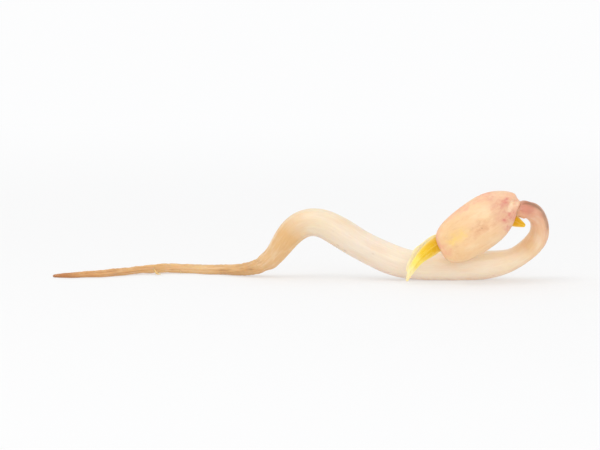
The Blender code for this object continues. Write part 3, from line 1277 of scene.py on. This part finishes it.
@dataclass(frozen=True)
class SideRoot:
    """A short root on the main one: its place, its turn about it, its length and radius."""

    share: float
    turn: float
    length: float
    radius: float
    sweep: float = 0.55
    curl: float = 0.5
    sides: int = 28
    spacing: float = 0.05
    sway: float = 0.06           # how far small waves move it sideways, mm
    lump: float = 0.06           # shares of the radius that lumps and rings stand out
    ring: float = 0.03
    rootness: float = 0.8        # how much it looks like the main root
    darker: float = 0.02         # how far down the main root's tones its tip is
    grain_pitch: float = 90.0    # keeps the grain of one side root from another's
    thickness: tuple[tuple[float, float], ...] = (      # share of its length, times the radius
        (0.0, 1.9),
        (0.14, 1.35),
        (0.3, 1.0),
        (0.75, 0.72),
        (1.0, 0.4),
    )
    lump_waves: Ripples = Ripples(61, 5, (1.0, 3.0), (2, 4))
    ring_waves: Ripples = Ripples(67, 6, (0.25, 0.8), (0, 2))

    def surface(self, stem: Stem) -> Surface:
        """A tapered tube that leaves the main root from a flared foot and bends as it goes.

        The way out turns about the upright by the curl x the share. The controls are the main
        root's centre plus that way x length x share, and the height is drawn down to the
        surface as the share grows. Small waves sway it to the sides.

        Args:
            stem: The growth that it stands on.

        Returns:
            The surface, with the stem's values save the inner strength.
        """
        route = stem.route
        i = int(np.argmin(np.abs(route.run - self.share * route.run[-1])))
        angle = math.radians(self.turn)
        out = math.cos(angle) * route.up[i] + math.sin(angle) * route.side[i]
        out = unit(out + self.sweep * route.tangent[i])
        steps = np.linspace(0, 1, 9)
        bend = self.curl * steps
        path = route.path[i] + self.length * steps[:, None] * np.stack([
            np.cos(bend) * out[0] - np.sin(bend) * out[1],
            np.sin(bend) * out[0] + np.cos(bend) * out[1],
            np.full(len(steps), out[2]),
        ], axis=1)
        sunk = ease(steps, 0.15, 0.75)
        path[:, 2] += (self.radius - path[:, 2]) * sunk
        waves = Ripples(int(self.share * 1000), 3, (0.9, 2.4))
        path[:, :2] += self.sway * (waves.across(steps * self.length, steps * 0) * steps)[:, None]
        taper = self.radius * np.interp(steps, *np.transpose(self.thickness))
        controls = np.column_stack([path, taper])
        twig = Route.through(controls, self.spacing, self.radius * 0.5, tuple(route.up[i]))
        turn = even_turn(self.sides)
        run, about = twig.run[:, None], turn[None, :]
        share = self.lump * self.lump_waves.round_about(run, about)
        share = share + self.ring * self.ring_waves.round_about(run, about)
        rings = settled(twig.rings(turn, twig.radius[:, None] * (1 + share)))
        full = np.broadcast_to(run, rings.shape[:2])
        tip = self.darker * ease(full, twig.run[-1] * 0.75, twig.run[-1])
        values = {
            "grain": twig.straightened(turn, self.grain_pitch * self.share),
            "share": np.full(full.shape, self.share) + tip,
            "root": np.full(full.shape, self.rootness),
            "blush": np.zeros(full.shape),
            "tinge": np.zeros(full.shape),
        }
        return Surface.closed(rings, values)


@dataclass
class StemAndRoots:
    """The stem with its side roots, in one skin."""

    stem: Stem = field(default_factory=Stem)
    side_roots: tuple[SideRoot, ...] = (
        SideRoot(0.735, 62.0, 2.6, 0.17, curl=-0.6),
        SideRoot(0.822, -58.0, 2.1, 0.15, curl=0.7),
        SideRoot(0.905, 75.0, 1.5, 0.13, curl=-0.5),
        SideRoot(0.775, -70.0, 0.80, 0.12, curl=0.4),
        SideRoot(0.868, 66.0, 0.72, 0.11, curl=-0.5),
    )

    def build(self, place: Callable[[Surface], Surface]) -> None:
        """Build and dress the pieces.

        Args:
            place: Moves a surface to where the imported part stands.
        """
        skin = StemFinish().make(self.stem.share_at)
        piece = place(self.stem.surface()).piece("stem", skin, Slot.STEM)
        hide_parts("stem_and_root")
        for number, root in enumerate(self.side_roots, 1):
            place(root.surface(self.stem)).piece(f"side_root_{number}", skin, Slot.STEM)


# ---------------------------------------------------------------- head


# a true leaf's colours from base to tip
GOLDEN: Stops = (
    (0.0, tone(236, 206, 110)),
    (0.45, tone(230, 164, 10)),
    (0.62, tone(226, 178, 22)),
    (0.74, tone(236, 196, 36)),
    (0.84, tone(250, 224, 104)),
    (0.93, tone(252, 234, 176)),
    (1.0, tone(250, 228, 184)),
)
# the far true leaf's paler colours are partly its own and partly painted light where it lies in shade
# between the seed leaves
CREAM_GOLD: Stops = (
    (0.0, tone(236, 206, 110)),
    (0.45, tone(238, 190, 60)),
    (0.60, tone(252, 228, 160)),
    (0.74, tone(254, 242, 206)),
    (1.0, tone(254, 240, 206)),
)
LOBE_GOLD: Stops = (
    (0.0, tone(230, 180, 4)),
    (0.6, tone(228, 174, 0)),
    (1.0, tone(232, 184, 6)),
)

# patches in the order that they are laid
NEAR_PATCHES: tuple[Patch, ...] = (
    Patch(Tint.CREAM, -0.70, -1.00, 1.80, 0.90, 0.45),
    Patch(Tint.ROSE, 0.40, -2.40, 1.70, 0.60, 0.60),
    Patch(Tint.ROSE, 4.80, 0.20, 0.60, 1.70, 0.60),
    Patch(Tint.ROSE, 4.20, 1.15, 0.70, 0.60, 0.60),
    Patch(Tint.GOLD, 2.70, 0.00, 2.30, 1.20, 0.50),
    Patch(Tint.GOLD, 3.40, 0.20, 1.10, 0.50, 0.60),
    Patch(Tint.GOLD, 2.10, 0.25, 1.60, 0.50, 0.30),
    Patch(Tint.BRUISE, 0.00, 0.45, 2.00, 1.10, 0.62),
    Patch(Tint.BRUISE, -1.60, 0.50, 1.60, 0.80, 0.38),
    Patch(Tint.BRUISE, 1.60, 1.00, 1.50, 0.50, 0.25),
    Patch(Tint.ROSE, -1.30, -2.40, 1.30, 0.60, 0.55),
    Patch(Tint.MAUVE, -3.40, 0.00, 1.80, 2.40, 0.38),
    Patch(Tint.MAUVE, -2.80, -2.15, 1.20, 0.65, 0.45),
    Patch(Tint.MAUVE, -4.15, -0.95, 1.20, 0.80, 0.82),
    Patch(Tint.MAUVE, -3.00, -1.00, 0.80, 0.80, 0.40),
    Patch(Tint.MAUVE, -3.90, 0.85, 0.72, 0.60, 0.90),
    Patch(Tint.MAUVE, -2.90, 0.92, 0.62, 0.62, 0.85),
    Patch(Tint.MAUVE, -2.10, -0.60, 0.80, 0.60, 0.22),
    Patch(Tint.MAUVE, -4.15, 1.25, 0.80, 0.50, 0.60),
    Patch(Tint.MAUVE, -3.20, 1.95, 1.20, 0.60, 0.80),
    Patch(Tint.CREAM, -4.65, -0.10, 0.85, 0.46, 0.85),
    Patch(Tint.CREAM, -4.05, 0.22, 0.75, 0.40, 0.75),
)
FAR_PATCHES: tuple[Patch, ...] = (
    Patch(Tint.CREAM, 0.40, -1.30, 2.00, 0.90, 0.45),
    Patch(Tint.ROSE, 4.50, 0.40, 0.80, 1.70, 0.55),
    Patch(Tint.GOLD, 2.40, -0.60, 2.00, 1.10, 0.75),
    Patch(Tint.BRUISE, 1.10, 0.90, 1.20, 0.60, 0.55),
    Patch(Tint.BRUISE, -1.80, -0.60, 1.40, 0.60, 0.40),
    Patch(Tint.MAUVE, -3.40, 0.20, 1.60, 2.40, 0.30),
    Patch(Tint.MAUVE, -4.20, 0.90, 1.00, 0.90, 0.65),
    Patch(Tint.MAUVE, -3.30, -1.60, 1.20, 0.80, 0.45),
    Patch(Tint.MAUVE, -3.30, 2.05, 1.20, 0.65, 0.55),
    Patch(Tint.MAUVE, -2.60, 0.30, 0.70, 0.65, 0.45),
    Patch(Tint.CREAM, -4.65, -0.10, 0.85, 0.46, 0.80),
)

# midribs from base to tip: along, up, off the middle plane, half width
NEAR_BLADE: tuple[Control, ...] = (
    (-3.70, -0.15, 0.20, 0.30),
    (-2.00, -0.10, 0.20, 0.62),
    (0.40, 0.00, 0.19, 0.88),
    (2.60, 0.15, 0.18, 0.98),
    (4.90, 0.40, 0.18, 0.92),
    (6.60, 0.10, 0.16, 0.76),
    (8.00, -0.30, 0.08, 0.54),
    (9.10, -0.92, -0.04, 0.35),
    (9.78, -1.46, -0.14, 0.23),
    (10.06, -1.74, -0.18, 0.14),
)
FAR_BLADE: tuple[Control, ...] = (
    (-3.70, -0.25, 0.20, 0.30),
    (-2.00, -0.20, 0.20, 0.60),
    (0.40, -0.10, 0.19, 0.84),
    (2.60, 0.10, 0.18, 0.92),
    (4.70, 0.52, 0.18, 0.88),
    (6.20, 0.72, 0.26, 0.76),
    (7.50, 0.47, 0.38, 0.60),
    (8.60, -0.04, 0.44, 0.38),
    (9.25, -0.52, 0.48, 0.22),
    (9.50, -0.76, 0.50, 0.13),
)
LOBE: tuple[Control, ...] = (
    (-2.95, -0.22, 0.16, 0.30),
    (-3.46, -0.90, 0.16, 0.58),
    (-3.98, -1.58, 0.16, 0.68),
    (-4.40, -2.15, 0.16, 0.44),
    (-4.70, -2.56, 0.16, 0.14),
)


@dataclass(frozen=True)
class Head:
    """The frame of the seed leaves: u to the blunt end, v down across, w out of the near face."""

    centre: Point = (1.10, -3.50, 6.60)
    along: Point = (-0.881, -0.050, -0.4705)
    lean: float = math.radians(10.0)

    def axes(self) -> Array:
        """The head's directions: along, out x along, and out made square to along.

        Returns:
            The three directions as rows.
        """
        along = unit(np.array(self.along))
        out = np.array([0.0, -math.cos(self.lean), math.sin(self.lean)])
        out = unit(out - (out @ along) * along)
        return np.stack([along, np.cross(out, along), out])

    def set_out(self, points: Array) -> Array:
        """Points of the head's frame in the sprout's: centre + u, v, w x the three directions."""
        return points @ self.axes() + np.array(self.centre)


@dataclass
class SeedLeaf:
    """One fleshy seed leaf: a blunt oval, domed outside and slightly hollow inside."""

    name: str
    node: str
    face: Face
    finish: SeedFinish
    seed: int
    length: float = 10.5
    width: float = 5.75
    back: float = 0.20                # how far it sits back towards the node
    dome: float = 2.30                # how high the outer face rises over the rim
    dish: float = 0.26                # how far the inner face is hollowed
    gap: float = 0.38                 # from the middle plane to the inner face
    rim: float = 0.08                 # height of the rim over the inner face
    drop: float = 0.115               # how far it slants across, per length
    bow: float = 0.28                 # how far both ends curve up
    powers: tuple[float, float, float] = (2.36, 0.72, 0.19)     # how full the outline is
    first_ring: float = 0.015         # share of the outline that the middle ring is
    last_angle: float = math.radians(89.4)
    narrowing: float = 0.9            # power of the dome's narrowing
    sides: int = 240
    inner_rings: int = 24
    edge_rings: int = 12
    dome_rings: int = 84
    fillet_from: float = 0.88
    fillet_rise: float = 0.34
    shut: float = 0.30                # how much nearer the pair's rims are than at the blunt end
    shut_at_node: float = 0.09        # and how much nearer still by the node
    seam_wave: float = 0.13           # how far the seam strays from the middle plane
    seam_rate: float = 1.15           # its turn per length, and where it starts
    seam_start: float = 0.5
    neck_turn: float = 2.80           # where on the outline the leaf joins the node
    neck_spread: float = 0.17
    neck_height: float = 0.62         # of the neck's middle over the inner face
    neck_reach: Point = (-0.18, 0.10, -0.16)
    keel_from: tuple[float, float] = (-5.35, -0.12)
    keel_heading: float = 0.50        # angle of the keel from the leaf's length
    keel_length: float = 1.7
    keel: float = 0.16                # how far the keel stands out
    keel_ridge: Bell = Bell(0.0, 0.26, 1.0)         # across the keel: its ridge and hollows
    keel_hollow: Bell = Bell(0.55, 0.24, -0.45)
    lump: float = 0.055               # how far lumps, dents, wrinkles and furrows stand out
    dent: float = 0.014
    wrinkle: float = 0.035
    wrinkles: int = 15                # in a turn about the base
    wrinkle_fade: float = 2.4         # their length
    furrow: float = 0.009
    furrow_pitch: float = 0.62
    bead: Bell = Bell(-0.035, 0.022, 0.035)
    groove: Bell = Bell(0.25, 0.5, -0.10)

    def _outline(self, turn: Array) -> tuple[Array, Array]:
        """A super-ellipse whose power changes round it, with both ends curved up.

        The power is the first of the powers + the second x cos t + the third x sin t, and the
        reach (|cos t|^power + |sin t|^power)^(-1/power).

        Args:
            turn: Angle t from the blunt end, towards v.

        Returns:
            u and v of the outline, before u is moved back.
        """
        power = self.powers[0] + self.powers[1] * np.cos(turn) + self.powers[2] * np.sin(turn)
        reach = (np.abs(np.cos(turn)) ** power + np.abs(np.sin(turn)) ** power) ** (-1 / power)
        u = reach * np.cos(turn) * self.length / 2
        v = reach * np.sin(turn) * self.width / 2 + self.drop * u
        return u, v - self.bow * (2 * u / self.length) ** 2

    def _profile(self) -> tuple[Array, Array, Array]:
        """From the middle of the inner face over the rim to the middle of the dome.

        Inner face: height is dish x (1 - r^2). Rim: a quarter ellipse. Dome: the scale is
        (cos a over cos of its first angle)^narrowing and the height rim + dome x sin a.

        Returns:
            The outline's scale, the height, and how much each ring is of the outer face.
        """
        r = np.linspace(self.first_ring, self.fillet_from, self.inner_rings)
        inner = np.stack([r, self.dish * (1 - r**2), 0 * r])
        b = np.linspace(0, math.pi / 2, self.edge_rings + 1)[1:]
        low, high = self.dish * (1 - self.fillet_from**2), self.rim + self.fillet_rise
        edge = np.stack([
            self.fillet_from + (1 - self.fillet_from) * np.sin(b),
            low + (high - low) * (1 - np.cos(b)),
            ease(b, 0.1, 1.2),
        ])
        start = math.asin(self.fillet_rise / self.dome)
        a = np.linspace(start, self.last_angle, self.dome_rings + 1)[1:]
        narrowing = (np.cos(a) / math.cos(start)) ** self.narrowing
        dome = np.stack([narrowing, self.rim + self.dome * np.sin(a), 1 + 0 * a])
        scale, height, outer = np.concatenate([inner, edge, dome], axis=1)
        return scale, height, outer

    def _relief(self, u: Array, v: Array, scale: Array, outer: Array) -> Array:
        """How far the skin stands out or sinks, along its normal.

        Lumps and dents are ripples. Wrinkles are cosines of the angle about the base and fade
        away from it. Furrows are cosines across, swayed by ripples. The rim has a low bead, and the
        outer face a slight long groove. The keel is a bell-shaped ridge between two shallow
        hollows, that runs from the neck and fades.

        Args:
            u: Place along.
            v: Place across.
            scale: Share of the way from the middle to the outline.
            outer: 1 on the outer face.

        Returns:
            The relief in millimetres.
        """
        lumps = self.lump * Ripples(self.seed, 6, (3.5, 9)).across(u, v)
        dents = self.dent * Ripples(self.seed + 1, 9, (0.9, 2.2)).across(u * 0.7, v)
        from_base = np.hypot(u + 5.3, v)
        about_base = np.arctan2(v, u + 5.6)
        sway = Ripples(self.seed + 2, 5, (1.5, 4)).across(u, v)
        wrinkles = self.wrinkle * np.cos(self.wrinkles * about_base + 1.1 * sway)
        wrinkles = wrinkles * np.exp(-from_base / self.wrinkle_fade)
        furrows = self.furrow * np.cos(math.tau * v / self.furrow_pitch + 1.3 * sway)
        furrows = furrows * ease(np.abs(u), 5.2, 2.0)
        groove = self.groove.over(v - 0.05 * u) * ease(u, -5.0, -2.5) * ease(u, 4.6, 1.0)
        du, dv = u - self.keel_from[0], v - self.keel_from[1]
        ahead = du * math.cos(self.keel_heading) + dv * math.sin(self.keel_heading)
        aside = dv * math.cos(self.keel_heading) - du * math.sin(self.keel_heading)
        fade = ease(ahead, self.keel_length, 0.4)
        keel = self.keel * (self.keel_ridge.over(aside) + self.keel_hollow.over(np.abs(aside))) * fade
        skin = (lumps + dents + wrinkles + furrows + groove) * ease(scale, 1.0, 0.9)
        return (skin + keel + self.bead.over(scale, 1.0)) * outer

    def surface(self, head: Head) -> Surface:
        """The seed leaf's closed surface in the sprout's frame.

        Each ring is the outline times the profile's scale, at the profile's height over the
        gap. Away from the blunt end the rim is drawn towards the other leaf, and both rims sway
        together by a sine of u: by the square of the scale on the inner face and the cube of
        the depth below the dome on the outer one.
        The neck moves it to the node by bells of the angle and of the height. The relief is
        then added along the normals.

        Args:
            head: The frame of the seed leaves.

        Returns:
            The surface, with its place in the head and its outer and edge strengths.
        """
        turn = even_turn(self.sides)
        u, v = self._outline(turn)
        scale, height, outer = self._profile()
        side = self.face.value
        flat = np.stack([
            scale[:, None] * u - self.back,
            scale[:, None] * v,
            np.broadcast_to(side * (self.gap + height)[:, None], (len(scale), self.sides)),
        ], axis=-1)
        high = np.clip((height - self.rim) / self.dome, 0, 1)
        low = np.where(outer > 0.5, (1 - high) ** 3, scale**2)[:, None]
        from_blunt = np.minimum(turn, math.tau - turn)
        by_node = ease(from_blunt, 1.6, 2.6) * (1.6 - np.sin(turn))
        shut = self.shut * ease(from_blunt, 0.40, 1.10) + self.shut_at_node * by_node
        wave = self.seam_wave * np.sin(self.seam_rate * flat[..., 0] + self.seam_start)
        wave = wave * ease(from_blunt, 0.40, 1.10)
        flat[..., 2] += (wave - side * shut) * low
        neck = hump(turn, self.neck_turn, self.neck_spread) * ease(scale, 0.55, 0.97)[:, None]
        neck = neck * hump(height, self.neck_height - self.gap, 0.55)[:, None]
        flat = flat + neck[..., None] * (np.array(self.neck_reach) * (1, 1, side))
        normal = grid_normals(flat)
        middle = normal[-1].mean(0)
        if middle[2] * side < 0:
            normal = -normal
        relief = self._relief(flat[..., 0], flat[..., 1], scale[:, None], outer[:, None])
        rings = flat + normal * relief[..., None]
        edge = hump(scale, 1.0, 0.10)[:, None] * np.ones(self.sides)
        values = {
            "place": flat,
            "outer": np.broadcast_to(outer[:, None], edge.shape),
            "edge": edge,
        }
        return Surface.closed(head.set_out(rings), values)


@dataclass
class Blade:
    """A thin folded leaf blade, swept along its midrib in the head's frame."""

    name: str
    face: Face
    controls: tuple[Control, ...]
    tones: Stops
    seed: int
    deep: Colour = tone(212, 156, 26)
    node: str | None = None
    thick: float = 0.20
    flat_fold: float = 0.10      # rise of the fold over the half width, near the base
    open_fold: float = 0.46      # and past where it unfolds
    opens_at: float = 5.15
    spacing: float = 0.06
    sides: int = 64
    wave: float = 0.035          # how far the margin waves, mm
    rib: Bell = Bell(0.0, 0.09, 0.045)
    vein: float = 0.010          # how far the side veins stand out
    vein_pitch: float = 0.84
    vein_lean: float = 0.9       # how far they lean to the tip, per length off the midrib
    ragged: float = 0.05         # share that the half width changes by
    cap: float = 0.12
    opens_over: float = 1.6      # length that it unfolds over

    def surface(self, head: Head) -> Surface:
        """The blade's closed surface in the sprout's frame.

        A ring's points are k = -cos b across, with b once round. The fold lifts them by
        (1 - |k|^1.4) x its depth, and the two faces stand half the thickness x |sin b|^0.6
        off it. The midrib is a low bell on the outer face and a groove on the inner one, the
        margin waves, and side veins are low ridges that lean to the tip.

        Args:
            head: The frame of the seed leaves.

        Returns:
            The surface, with its place on the blade, its share and its edge strength.
        """
        controls = np.array(self.controls) * (1, -1, self.face.value, 1)
        route = Route.through(controls, self.spacing, self.cap, (0, 0, self.face.value))
        out = np.array([0.0, 0.0, self.face.value])
        rise = unit(out - (route.tangent @ out)[:, None] * route.tangent)
        width = np.cross(route.tangent, rise)
        turn = even_turn(self.sides)
        k = -np.cos(turn)[None, :]
        run = route.run[:, None]
        waver = Ripples(self.seed, 4, (1.2, 3.4)).round_about(run, 0 * k)
        half = route.radius[:, None] * (1 + self.ragged * waver)
        opening = ease(route.path[:, 0], self.opens_at, self.opens_at + self.opens_over)[:, None]
        depth = half * (self.flat_fold + (self.open_fold - self.flat_fold) * opening)
        crest = (1 - np.abs(k) ** 1.4) * depth
        wave = Ripples(self.seed + 1, 5, (0.9, 2.6)).round_about(run, np.sign(k))
        crest = crest + self.wave * np.abs(k) ** 3 * wave * (0.3 + 0.7 * opening)
        body = np.minimum(self.thick, half * 0.9) * (1 - 0.35 * k**2)
        off = 0.5 * body * np.sign(np.sin(turn)) * np.abs(np.sin(turn)) ** 0.6
        off_rib = np.abs(k) * half
        upper = ease(np.sin(turn), -0.2, 0.2)[None]
        beat = math.tau * (run - self.vein_lean * off_rib) / self.vein_pitch
        veins = self.vein * np.cos(beat) * ease(off_rib, 0.02, 0.15)
        ridges = self.rib.over(off_rib) + veins
        off = off + ridges * (0.35 + 0.65 * upper) * ease(half, 0.15, 0.4)
        rings = route.path[:, None] + (k * half)[..., None] * width[:, None]
        rings = rings + (crest + off)[..., None] * rise[:, None]
        full = np.broadcast_to(run, off.shape)
        values = {
            "blade": np.stack([full, k * half, off * 3], axis=-1),
            "share": full / route.run[-1],
            "edge": np.abs(k) ** 6 * np.ones(full.shape),
        }
        return Surface.closed(settled(head.set_out(rings)), values)


@dataclass
class SproutHead:
    """The seed leaves, and the true leaves between them."""

    head: Head = field(default_factory=Head)
    seed_leaves: tuple[SeedLeaf, ...] = (
        SeedLeaf(
            "seed_leaf_near",
            "seed_leaf_front",
            Face.NEAR,
            SeedFinish("seed_leaf_skin_near", NEAR_PATCHES),
            seed=101,
        ),
        SeedLeaf(
            "seed_leaf_far",
            "seed_leaf_back",
            Face.FAR,
            SeedFinish("seed_leaf_skin_far", FAR_PATCHES),
            seed=151,
        ),
    )
    blades: tuple[Blade, ...] = (
        Blade(
            "true_leaf_near",
            Face.NEAR,
            NEAR_BLADE,
            tones=GOLDEN,
            seed=201,
            node="true_leaf_front",
        ),
        Blade(
            "true_leaf_far",
            Face.FAR,
            FAR_BLADE,
            tones=CREAM_GOLD,
            seed=211,
            # a paler deep colour, partly painted light as well
            deep=tone(238, 206, 120),
            node="true_leaf_back",
        ),
        Blade(
            "leaf_lobe",
            Face.FAR,
            LOBE,
            tones=LOBE_GOLD,
            seed=221,
            open_fold=0.10,
        ),
    )

    def build(self, place: Callable[[Surface], Surface]) -> None:
        """Build and dress the pieces.

        Args:
            place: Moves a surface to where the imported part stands.
        """
        for leaf in self.seed_leaves:
            piece = place(leaf.surface(self.head)).piece(leaf.name, leaf.finish.make(), Slot.SEED)
            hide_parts(leaf.node)
        for blade in self.blades:
            skin = LeafFinish(f"{blade.name}_skin", blade.tones, blade.deep).make()
            piece = place(blade.surface(self.head)).piece(blade.name, skin, Slot.LEAF)
            if blade.node:
                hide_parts(blade.node)


# ---------------------------------------------------------------- studio


@dataclass(frozen=True)
class Studio:
    """Pale floor, even light from all round, two soft lamps, and the camera. In metres."""

    floor_half: float = 3.0
    floor_drop: float = 0.00001
    floor_lines: int = 9
    sky: tuple[tuple[float, float], ...] = (    # how far up, and how bright
        (0.0, 0.982),
        (0.05, 0.982),
        (0.16, 0.84),
        (0.45, 0.84),
        (0.9, 0.98),
    )
    lamps: tuple[tuple[str, Point, float, float], ...] = (
        ("soft_lamp", (-0.20, -0.16, 0.42), 0.22, 0.41),
        ("low_fill", (0.10, -0.50, 0.16), 0.35, 0.45),
    )
    lens: float = 240.0
    elevation: float = math.radians(6.5)
    distance: float = 0.456
    aim: Point = (0.0, 0.0, 0.0062)

    def build(self) -> None:
        """Set up the floor, the surroundings, the lamps and the camera."""
        self._floor()
        self._surroundings()
        self._lamps()
        self._camera()
        bpy.context.scene.view_settings.view_transform = "Standard"

    def _floor(self) -> None:
        """A flat square of even faces, just under the sprout."""
        lines = self.floor_lines
        steps = np.linspace(-self.floor_half, self.floor_half, lines)
        x, y = np.meshgrid(steps, steps, indexing="ij")
        points = np.stack([x, y, np.full(x.shape, -self.floor_drop)], axis=-1).reshape(-1, 3)
        index = np.arange(lines * lines).reshape(lines, lines)
        faces = np.stack([index[:-1, :-1], index[1:, :-1], index[1:, 1:], index[:-1, 1:]], -1)
        mesh = bpy.data.meshes.new("floor")
        mesh.from_pydata(points.tolist(), [], faces.reshape(-1, 4).tolist())
        mesh.materials.append(FloorFinish().make())
        floor = bpy.data.objects.new("floor", mesh)
        bpy.context.scene.collection.objects.link(floor)

    def _surroundings(self) -> None:
        """Even light from all round, a little dimmer between the horizon and overhead."""
        world = bpy.data.worlds.new("surroundings")
        bpy.context.scene.world = world
        world.use_nodes = True
        nodes, links = world.node_tree.nodes, world.node_tree.links
        heading = nodes.new("ShaderNodeTexCoord").outputs["Generated"]
        split = nodes.new("ShaderNodeSeparateXYZ")
        links.new(heading, split.inputs[0])
        ramp = nodes.new("ShaderNodeValToRGB")
        fill_ramp(ramp.color_ramp, [(up, (light, light, light, 1.0)) for up, light in self.sky])
        links.new(split.outputs[2], ramp.inputs[0])
        links.new(ramp.outputs[0], nodes["Background"].inputs["Color"])

    def _lamps(self) -> None:
        """Soft square lamps that face the sprout: one above and to the left, one low in front."""
        for name, place, size, power in self.lamps:
            light = bpy.data.lights.new(name, "AREA")
            light.shape = "SQUARE"
            light.size = size
            light.energy = power
            lamp = bpy.data.objects.new(name, light)
            lamp.location = place
            lamp.rotation_euler = Vector(place).to_track_quat("Z", "Y").to_euler()
            bpy.context.scene.collection.objects.link(lamp)

    def _camera(self) -> None:
        """A long lens, low over the surface, that looks along +Y at the sprout's middle."""
        data = bpy.data.cameras.new("camera")
        data.lens = self.lens
        data.clip_start = 0.01
        camera = bpy.data.objects.new("camera", data)
        back = Vector((0, -math.cos(self.elevation), math.sin(self.elevation)))
        camera.location = Vector(self.aim) + back * self.distance
        camera.rotation_euler = back.to_track_quat("Z", "Y").to_euler()
        bpy.context.scene.collection.objects.link(camera)
        bpy.context.scene.camera = camera


# ---------------------------------------------------------------- main


def corners(box: tuple[Vector, Vector]) -> list[list[float]]:
    """A box's lowest and highest corners as plain lists."""
    return [list(corner) for corner in box]


def placing() -> Callable[[Surface], Surface]:
    """How the sprout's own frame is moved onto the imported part.

    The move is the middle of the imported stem's box less the same middle in the own frame.

    Returns:
        A function that moves a surface.
    """
    low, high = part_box("stem_and_root")
    move = (np.array(low) + np.array(high)) / 2 / MM - STEM_BOX_MIDDLE
    move[2] = 0
    LOG.info("moved by %s mm", move.round(3))

    def place(surface: Surface) -> Surface:
        """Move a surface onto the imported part."""
        return Surface(surface.points + move, surface.faces, surface.values)

    return place


def main() -> None:
    """Load the frame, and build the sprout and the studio."""
    logging.basicConfig(level=logging.INFO, format="%(name)s: %(message)s")
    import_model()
    stem_and_roots = StemAndRoots()
    place = placing()
    stem_and_roots.build(place)
    SproutHead().build(place)
    Studio().build()


if __name__ == "__main__":
    main()
